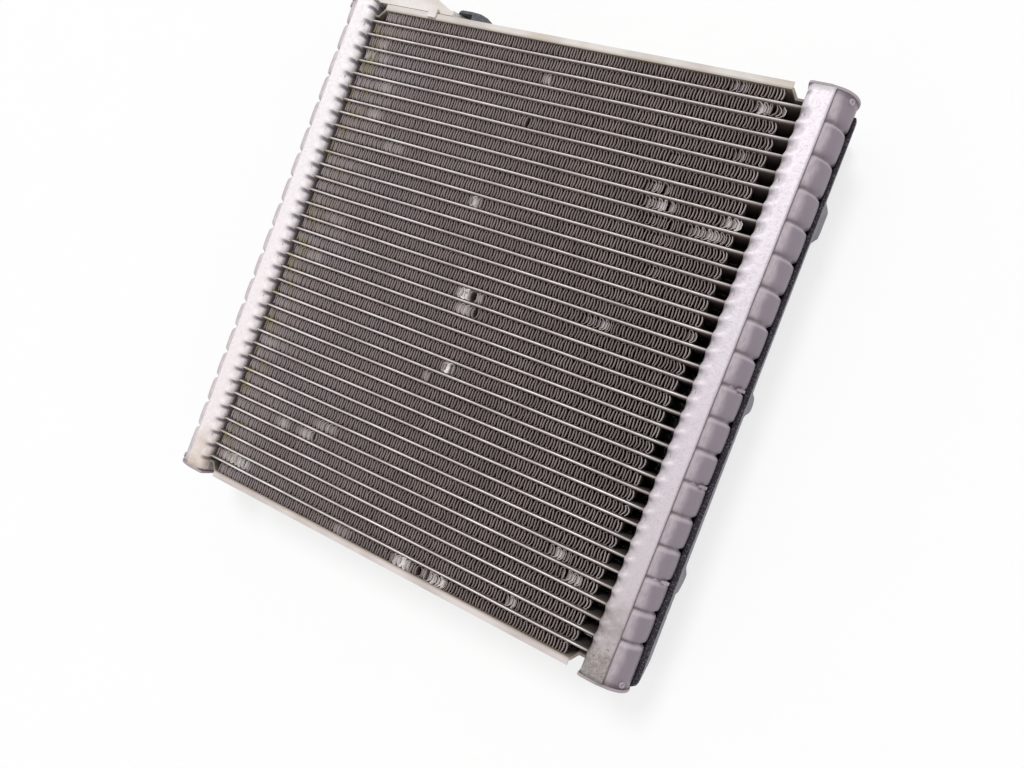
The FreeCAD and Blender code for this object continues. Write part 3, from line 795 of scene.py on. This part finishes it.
# Header plates: a channel of sheet whose bends are pressed in between the tubes
header = {
    "sheet": 1.2,
    "bend": 2.4,
    "valleyDepth": 1.45,
    "valleyReach": 4.6,  # along the sheet from the middle of the bend
    "valleyShare": 0.47,  # half width of a valley as a share of the tube pitch
    "stationsPerPitch": 9,
    "edgeWave": 0.12,
    "edgeReach": 3.0,
    "pullOut": 0.66,  # which way a valley sinks
    "pullBack": 0.75,
    "seed": 3,
}


def channelPath(width, depth, bend):
    # points and outward directions of the outside of a channel, from its front edge round to its rear edge
    points = []
    for d in np.linspace(width, bend, 10)[:-1]:
        points.append((d, depth, 0, 1))
    for angle in np.radians(np.linspace(90, 180, 8)):
        points.append((bend + bend * math.cos(angle), depth - bend + bend * math.sin(angle),
                       math.cos(angle), math.sin(angle)))
    for z in np.linspace(depth - bend, bend, 12)[1:-1]:
        points.append((0, z, -1, 0))
    half = np.array(points[:17 + 5])
    mirrored = half[::-1] * np.array([1, -1, 1, -1]) + np.array([0, depth, 0, 0])
    return np.concatenate([half, mirrored])


def headerPlate(side):
    rng = np.random.default_rng(header["seed"])
    path = channelPath(headerDepth, tankDepth, header["bend"])
    d, z, normalD, normalZ = path.T
    steps = np.hypot(np.diff(d), np.diff(z))
    along = np.concatenate([[0], np.cumsum(steps)])
    bendPlace = along[9 + 3]
    total = along[-1]
    toBend = np.minimum(np.abs(along - bendPlace), np.abs(total - along - bendPlace))
    pressed = np.cos(np.clip(toBend / header["valleyReach"], 0, 1) * math.pi / 2) ** 2
    frontHalf = z > tankDepth / 2
    pullD = header["pullOut"] * pressed
    pullZ = header["pullBack"] * np.where(frontHalf, -1, 1) * pressed
    count = (core["tubeCount"] - 1) * header["stationsPerPitch"]
    ys = np.concatenate([np.linspace(tankTop, tubePlaces[0], 4)[:-1],
                         np.linspace(tubePlaces[0], tubePlaces[-1], count + 1),
                         np.linspace(tubePlaces[-1], tankBottom, 4)[1:]])
    turns = (tubePlaces[0] - ys) / core["tubePitch"]
    fromValley = np.abs(turns - np.floor(turns) - 0.5) / header["valleyShare"]
    inRange = (turns > 0) & (turns < core["tubeCount"] - 1)
    valley = np.where(inRange, np.cos(np.clip(fromValley, 0, 1) * math.pi / 2) ** 1.25, 0)
    sink = header["valleyDepth"] * valley * (1 + 0.12 * wander(rng, ys, 23))
    edge = header["edgeWave"] * (0.5 + 0.5 * wander(rng, ys, 40))
    edgeShare = smoothStep(d, headerDepth - header["edgeReach"], headerDepth)
    outerD = d[None] + sink[:, None] * pullD[None] - edge[:, None] * edgeShare[None]
    outerZ = z[None] + sink[:, None] * pullZ[None]
    piece = bentSheet(side + "HeaderPlate", side, ys, outerD, outerZ, normalD, normalZ, header["sheet"])
    return dress(piece, headerMaterials[side], "header_sheet", side + "_header_plate")


for side in ("right", "left"):
    headerPlate(side)
print("header plates pressed")


# Tank covers: two domes side by side, pinched by a groove at every second tube gap
tank = {
    "foot": 2.25,
    "domeAxis": 8.65,
    "domeRadius": 10.1,
    "frontAxis": 31.65,
    "rearAxis": 11.35,
    "sheet": 1.2,
    "grooveDepth": 1.35,
    "grooveHalf": 1.75,
    "crown": 0.28,  # how much a segment swells between its grooves
}


def domePoints(axisZ, start, end, count, lift):
    points = []
    for angle in np.radians(np.linspace(start, end, count)):
        normal = (math.sin(angle), math.cos(angle))
        # the groove starts beside the header and runs out before the valley
        turned = math.degrees(angle) if lift > 0 else 180 - math.degrees(angle)
        groove = float(smoothStep(turned, 0, 6)) * (1 - float(smoothStep(turned, 128, 152)))
        points.append((tank["domeAxis"] + tank["domeRadius"] * normal[0],
                       axisZ + tank["domeRadius"] * normal[1], normal[0], normal[1], groove))
    return points


def tankPath():
    low = tankDepth - tank["frontAxis"] - tank["domeRadius"]
    points = [(d, tankDepth - low, 0, 1, 0) for d in np.linspace(tank["foot"], tank["domeAxis"], 4)[:-1]]
    points += domePoints(tank["frontAxis"], 0, 174, 22, 1)
    points += domePoints(tank["rearAxis"], 6, 180, 22, -1)
    points += [(d, low, 0, -1, 0) for d in np.linspace(tank["domeAxis"], tank["foot"], 4)[1:]]
    return np.array(points)


def tankCover(side):
    d, z, normalD, normalZ, groove = tankPath().T
    shape = np.linspace(-1, 1, 13)
    pinch = np.sign(shape) * np.abs(shape) ** 1.4 * segmentLength / 2
    ys = [tankTop, (tankTop + groovePlaces[0]) / 2 + 2]
    for place in groovePlaces:
        ys.extend(place - pinch if place != groovePlaces[0] else place - pinch[2:])
    ys.extend([(tankBottom + groovePlaces[-1]) / 2 - 4, tankBottom])
    ys = np.unique(np.round(ys, 4))[::-1]
    nearest = np.min(np.abs(ys[:, None] - groovePlaces[None, :]), axis=1)
    sink = tank["grooveDepth"] * (1 - smoothStep(nearest, 0.1, tank["grooveHalf"]))
    sink = sink + tank["crown"] * (1 - np.clip(nearest / (segmentLength / 2), 0, 1)) ** 2
    depth = sink[:, None] * groove[None]
    sunkD = d[None] - depth * normalD[None]
    sunkZ = z[None] - depth * normalZ[None]
    piece = bentSheet(side + "TankCover", side, ys, sunkD, sunkZ, normalD, normalZ, tank["sheet"])
    return dress(piece, tankMaterials[side], "tank_sheet", side + "_tank_cover")


for side in ("right", "left"):
    tankCover(side)
print("tank covers pressed")


# End caps: a plate with the outline of the tank and a round-headed claw folded over each dome
cap = {
    "plate": 1.2,
    "margin": 0.55,
    "corner": 1.5,
    "bevel": 0.35,
    "pipRadius": 1.4,
    "pipFromEnd": 2.0,
    "pipHeight": 0.72,
    "pipAngle": 50.0,
}


def capOutline():
    rim = tank["domeRadius"] + cap["margin"]
    points = [(-cap["margin"], tankDepth / 2), (-cap["margin"], tankDepth - cap["corner"])]
    for angle in np.radians((150, 120, 90)):
        points.append((cap["corner"] * (1 + math.cos(angle)) - cap["margin"],
                       tankDepth - cap["corner"] * (1 - math.sin(angle))))
    points.append((tank["domeAxis"] - 1, tankDepth))
    for angle in np.radians(np.linspace(18, 148, 20)):
        points.append((tank["domeAxis"] + rim * math.sin(angle), tank["frontAxis"] + rim * math.cos(angle)))
    points.append((tank["domeAxis"] + rim * 0.43, tankDepth / 2))
    mirrored = [(d, tankDepth - z) for d, z in points[1:-1]]
    return points + mirrored[::-1]


def capPip(axisZ, angle, y, toCore):
    # a round pip with a ring round it on the claw, where the cap is pinched to the dome
    profile = ((0.0, 0.3), (0.34, 0.3), (0.5, 0.72), (0.64, 1.0),
               (0.78, 0.96), (0.9, 0.6), (1.0, 0.1), (1.02, -0.5))
    turns = np.linspace(0, 2 * math.pi, 17)[:-1]
    rings = []
    for reach, height in profile:
        radius = max(reach, 0.02) * cap["pipRadius"]
        lift = tank["domeRadius"] - 0.25 + height * (cap["pipHeight"] + 0.2)
        around = math.radians(angle) + radius * np.cos(turns) / tank["domeRadius"]
        along = y + toCore * (cap["pipFromEnd"] + radius * np.sin(turns))
        outwards = tank["domeAxis"] + lift * np.sin(around)
        rings.append(np.stack([outwards, along, axisZ + lift * np.cos(around)], axis=1))
    return np.array(rings)


def endCap(side, end, node):
    edge, away = (tankTop, 1) if end == "Top" else (tankBottom, -1)
    outline = [(innerFace[side] + outward[side] * d, z) for d, z in capOutline()]
    low, high = sorted((edge, edge + away * cap["plate"]))
    pips = [toSide(side, capPip(axisZ, angle, edge, -away)) for axisZ, angle in (
        (tank["frontAxis"], cap["pipAngle"]), (tank["rearAxis"], 180 - cap["pipAngle"]))]
    extra = sweptPiece("pips", pips)
    # a flat plate cut to the outline, its edges eased, with the two pips in the same mesh
    work = bmesh.new()
    face = work.faces.new([work.verts.new((x * mm, low * mm, z * mm)) for x, z in outline])
    grown = bmesh.ops.extrude_face_region(work, geom=[face])["geom"]
    moved = [part for part in grown if isinstance(part, bmesh.types.BMVert)]
    bmesh.ops.translate(work, verts=moved, vec=(0, (high - low) * mm, 0))
    bmesh.ops.recalc_face_normals(work, faces=work.faces)
    rims = [rim for rim in work.edges if rim.calc_face_angle(0) > math.radians(60)]
    bmesh.ops.bevel(work, geom=rims, offset=cap["bevel"] * mm, segments=2, profile=0.5, affect="EDGES")
    work.from_mesh(extra.data)
    bpy.data.objects.remove(extra)
    mesh = bpy.data.meshes.new(side + end + "EndCap")
    work.to_mesh(mesh)
    work.free()
    return dress(addObject(mesh.name, mesh), sheetMaterials["Cap"], "cap_sheet", node)


for side in ("right", "left"):
    for end in ("Top", "Bottom"):
        endCap(side, end, "%s_%s_end_cap" % (side, end.lower()))
print("end caps folded on")


# Foam on the right tank: fills the valley, hugs both domes and swells out in three low bulges
foamLow, foamHigh = nodeBox("right_tank_foam")
tankFoam = {
    "clearance": 0.12,
    "outerRound": 0.6,
    "bulges": (68.5, -9.7, -87.9),
    "bulgeHalf": 5.0,
    "bulgeCrest": 1.4,
    "coverTop": 120.35,
    "coverBottom": 121.65,
    "leanTop": 1.5,  # the outer face leans in by this much from its front edge to its rear edge
    "leanBottom": 0.6,
    "bulgeFrom": 4.0,  # the bulges only stand out this far behind the front face
    "corners": ((4.5, 0.5, "bottom"), (3.0, 0.25, "top")),  # radius, how much of it shows, at which end
    "stationLength": 1.2,
    "roughCut": 0.1,
    "seed": 11,
}


def foamHug():
    # the inner side of the section: round the front dome into the valley, then round the rear dome
    axisX = innerFace["right"] + tank["domeAxis"]
    radius = tank["domeRadius"] + tankFoam["clearance"]
    points = []
    start = math.degrees(math.acos((foamHigh[2] - tank["frontAxis"]) / radius))
    end = 172.0
    if radius > tank["rearAxis"] - foamLow[2]:
        end = min(end, math.degrees(math.acos((foamLow[2] - tank["rearAxis"]) / radius)))
    for axisZ, first, last in ((tank["frontAxis"], start, 171), (tank["rearAxis"], 9, end)):
        for angle in np.radians(np.linspace(first, last, 12)):
            points.append((axisX + radius * math.sin(angle), axisZ + radius * math.cos(angle)))
    points[-1] = (points[-1][0], foamLow[2])
    points = np.array(points)
    points[:, 0] = np.maximum(points[:, 0], foamLow[0] + 0.1)
    return points


def foamSection(frontX, swell, lean, hug):
    rounding = tankFoam["outerRound"]
    top = [(x, foamHigh[2]) for x in np.linspace(hug[0, 0], frontX - rounding, 4)[1:]]
    corner = [(frontX - rounding * (1 - math.sin(a)), foamHigh[2] - rounding * (1 - math.cos(a)))
              for a in np.radians((30, 60, 90))]
    side = []
    for z in np.linspace(foamHigh[2] - rounding, foamLow[2] + 0.6, 12)[1:]:
        below = foamHigh[2] - z
        reach = frontX - lean * below / (foamHigh[2] - foamLow[2])
        side.append((reach + swell * float(smoothStep(below, rounding, tankFoam["bulgeFrom"])), z))
    foot = [(x, foamLow[2]) for x in np.linspace(side[-1][0] - 0.6, hug[-1, 0], 4)[:-1]]
    return np.concatenate([np.array(top + corner + side + foot), hug[::-1]])


def rightTankFoam():
    rng = np.random.default_rng(tankFoam["seed"])
    hug = foamHug()
    count = int((foamHigh[1] - foamLow[1]) / tankFoam["stationLength"])
    ys = np.linspace(foamHigh[1], foamLow[1], count)
    rings = []
    for y in ys:
        share = (foamHigh[1] - y) / (foamHigh[1] - foamLow[1])
        base = tankFoam["coverTop"] + (tankFoam["coverBottom"] - tankFoam["coverTop"]) * share
        lean = tankFoam["leanTop"] + (tankFoam["leanBottom"] - tankFoam["leanTop"]) * share
        swell = 0
        for bulge in tankFoam["bulges"]:
            near = 1 - float(smoothStep(abs(y - bulge), tankFoam["bulgeCrest"], tankFoam["bulgeHalf"]))
            swell += (foamHigh[0] - 0.1 - base) * near
        outerX = base
        for radius, shown, gap in tankFoam["corners"]:
            reached = max(radius - (y - foamLow[1] if gap == "bottom" else foamHigh[1] - y), 0)
            outerX -= shown * (radius - math.sqrt(max(radius ** 2 - reached ** 2, 0.01)))
        section = foamSection(outerX, swell, lean, hug)
        rings.append(np.stack([section[:, 0], np.full(len(section), y), section[:, 1]], axis=1))
    rings = np.array(rings)
    cutPoints = len(section) - len(hug)
    rough = rng.normal(0, tankFoam["roughCut"], (len(ys), cutPoints)).clip(-0.2, 0.0)
    cutZ = rings[:, :cutPoints, 2]
    rings[:, :cutPoints, 2] = np.clip(cutZ + rough * (cutZ > foamHigh[2] - 0.7), foamLow[2], foamHigh[2])
    rings[:, 3:cutPoints, 0] += rough[:, 3:] * 0.5
    piece = sweptPiece("rightTankFoamStrip", [rings])
    dress(piece, foamMaterial, "black_foam", "right_tank_foam")


rightTankFoam()


# Foam pad over the end of the side passage, with a soft crown that falls away to a rounded end
# on the side plate
padLow, padHigh = nodeBox("side_plate_foam")
padFoam = {
    "lap": 7.9,  # over the end of the passage cover
    "shelf": 113.65,
    "crown": (
        (-41.15, 109.2), (-41.05, 110.1), (-41.6, 111.4), (-43.0, 112.9), (-45.0, 114.0),
        (-47.5, 114.75), (-50.0, 115.1), (-53.5, 115.25), (-56.5, 115.25), (-59.0, 115.15),
        (-60.1, 114.6), (-60.45, 114.0),
    ),
    "frontRound": 1.0,
    "stations": 22,
    "roughCut": 0.08,
    "seed": 19,
}


def sidePlateFoam():
    rng = np.random.default_rng(padFoam["seed"])
    wall = padLow[0] + padFoam["lap"] + 0.15
    floor = padLow[1] + 0.02
    steps = [padLow[0] + step for step in (0.1, 0.9, 2.0, 4.0)] + [wall]
    shelf = [(x, padFoam["shelf"]) for x in steps]
    base = [(wall, floor)] + [(x, floor) for x in np.linspace(wall + 2.9, padHigh[0] - 1.2, 6)]
    outline = np.array(shelf + base + list(padFoam["crown"]))
    centre = outline.mean(axis=0)
    levels = np.linspace(padLow[2], padHigh[2], padFoam["stations"])
    rings = []
    for z in levels:
        fromEnd = min(z - levels[0], levels[-1] - z)
        shrink = padFoam["frontRound"] * 0.12 * (1 - min(fromEnd / padFoam["frontRound"], 1)) ** 2
        points = outline + (centre - outline) * shrink
        crown = len(padFoam["crown"])
        points[-crown:] -= np.abs(rng.normal(0, padFoam["roughCut"], (crown, 1))).clip(0, 0.15)
        rings.append(np.stack([points[:, 0], points[:, 1], np.full(len(points), z)], axis=1))
    piece = sweptPiece("sidePlateFoamPad", [np.array(rings)])
    dress(piece, padMaterial, "black_foam", "side_plate_foam")


sidePlateFoam()
print("foam cut")


# CAD nodes that keep their form get a finish and eased edges
easedEdges = {"sheet": 0.42, "block": 0.6}


def finishNode(node, material, width):
    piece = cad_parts[node]
    piece.data.materials.clear()
    piece.data.materials.append(material)
    ease = piece.modifiers.new("easedEdges", "BEVEL")
    ease.width = width * mm
    ease.segments = 3
    ease.limit_method = "ANGLE"
    ease.angle_limit = math.radians(35)
    ease.harden_normals = True


for part, nodes in (
        ("TopPlate", ("top_side_plate",)),
        ("BottomPlate", ("bottom_side_plate",)),
        ("Passage", ("side_passage_base", "side_passage_cover")),
        ("Cap", ("upper_baffle", "middle_baffle", "lower_baffle", "left_tank_separator"))):
    for node in nodes:
        finishNode(node, sheetMaterials[part], easedEdges["sheet"])
finishNode("connector_block", blockMaterial, easedEdges["block"])
print("CAD nodes finished")


# Stage: a pale floor that stays white to the camera and still takes the object's shadow
stage = {
    "floorSize": 6000.0,
    "floorColour": "#fcfcfc",
    "floorNoise": {"Scale": 0.02, "Detail": 2.0},
    "roughness": 0.9,
    "shadowLift": 0.7,  # how far the white of the paper is kept in the shadow
    "shadowInset": 8.0,
    "skyFill": 0.62,
    "keyStrength": 1.35,
    "keyFrom": (-0.28, 0.55, 1.0),
    "keySoftness": 16.0,  # degrees across, seen from the object
}


def seenRays(tree):
    # 1 for what the camera, a gloss or a clear body shows, 0 for the light that falls on the object
    rays = addNode(tree, "ShaderNodeLightPath", {})
    seen = addNode(tree, "ShaderNodeMath", {"operation": "MAXIMUM"},
                   {0: rays.outputs["Is Camera Ray"], 1: rays.outputs["Is Glossy Ray"]})
    shown = addNode(tree, "ShaderNodeMath", {"operation": "MAXIMUM"},
                    {0: seen.outputs[0], 1: rays.outputs["Is Transmission Ray"]})
    return shown.outputs[0]


def paleFloor():
    half = stage["floorSize"] / 2 * mm
    mesh = bpy.data.meshes.new("paleFloor")
    square = [(-half, -half, 0), (half, -half, 0), (half, half, 0), (-half, half, 0)]
    mesh.from_pydata(square, [], [(0, 1, 2, 3)])
    floor = addObject("paleFloor", mesh)
    floor.location.z = -0.05 * mm
    material, tree, shader, place, axes = startFinish("matPaperFloor", stage)
    fibres = addNode(tree, "ShaderNodeTexNoise", stage["floorNoise"], {"Vector": place}).outputs["Fac"]
    tone = tintWhere(tree, stage["floorColour"], "#ffffff", (fibres, {}))
    tree.links.new(tone, shader.inputs["Base Color"])
    white = addNode(tree, "ShaderNodeEmission", {"Strength": 1.0})
    # right under the core the paper keeps its full shadow, so it doesn't shine through between the fins
    outside = []
    for axis, low, high in (("X", leftHeaderLow[0], rightHeaderHigh[0]), ("Y", tankBottom, tankTop)):
        reach = float(high - low) / 2 - stage["shadowInset"]
        outside.append(addNode(tree, "ShaderNodeMath", {"operation": "GREATER_THAN", 1: reach},
                               {0: distanceFrom(tree, axes[axis], (low + high) / 2)}))
    either = addNode(tree, "ShaderNodeMath", {"operation": "MAXIMUM"},
                     {0: outside[0].outputs[0], 1: outside[1].outputs[0]})
    lifted = addNode(tree, "ShaderNodeMath", {"operation": "MULTIPLY", 1: stage["shadowLift"]},
                     {0: either.outputs[0]})
    share = addNode(tree, "ShaderNodeMath", {"operation": "MULTIPLY"},
                    {0: lifted.outputs[0], 1: seenRays(tree)})
    both = addNode(tree, "ShaderNodeMixShader", {},
                   {0: share.outputs[0], 1: shader.outputs["BSDF"], 2: white.outputs["Emission"]})
    tree.links.new(both.outputs[0], tree.nodes["Material Output"].inputs["Surface"])
    mesh.materials.append(material)


def skyAndKey():
    world = bpy.data.worlds.new("softStudio")
    bpy.context.scene.world = world
    world.use_nodes = True
    tree = world.node_tree
    background = tree.nodes["Background"]
    background.inputs["Color"].default_value = (1, 1, 1, 1)
    level = addNode(tree, "ShaderNodeMapRange", {"To Min": stage["skyFill"]}, {"Value": seenRays(tree)})
    tree.links.new(level.outputs["Result"], background.inputs["Strength"])
    lamp = bpy.data.lights.new("softKey", "SUN")
    lamp.energy = stage["keyStrength"]
    lamp.angle = math.radians(stage["keySoftness"])
    key = addObject("softKey", lamp)
    key.rotation_mode = "QUATERNION"
    key.rotation_quaternion = Vector(stage["keyFrom"]).to_track_quat("Z", "Y")


# Camera: where the photograph was taken from
camera = {
    "place": (136.5, -31.6, 321.9),
    "aim": (22.65, -41.73, 20.0),
    "roll": -73.74,
    "focalPixels": 715.94,
    "imageWidth": 1024,
    "imageHeight": 768,
    "principalX": 507.5,
    "principalY": 393.3,
    "sensor": 36.0,
}


def photoCamera():
    data = bpy.data.cameras.new("photoCamera")
    made = addObject("photoCamera", data)
    place = Vector(camera["place"]) * mm
    aim = Vector(camera["aim"]) * mm
    made.location = place
    made.rotation_mode = "QUATERNION"
    roll = Quaternion((0, 0, 1), math.radians(camera["roll"]))
    made.rotation_quaternion = (aim - place).to_track_quat("-Z", "Y") @ roll
    data.sensor_width = camera["sensor"]
    data.lens = camera["focalPixels"] * camera["sensor"] / camera["imageWidth"]
    data.shift_x = 0.5 - camera["principalX"] / camera["imageWidth"]
    data.shift_y = (camera["principalY"] - camera["imageHeight"] / 2) / camera["imageWidth"]
    data.clip_start = 0.01
    data.clip_end = 20
    bpy.context.scene.camera = made


paleFloor()
skyAndKey()
photoCamera()
bpy.context.scene.view_settings.view_transform = "Standard"
print("stage, light and camera set")
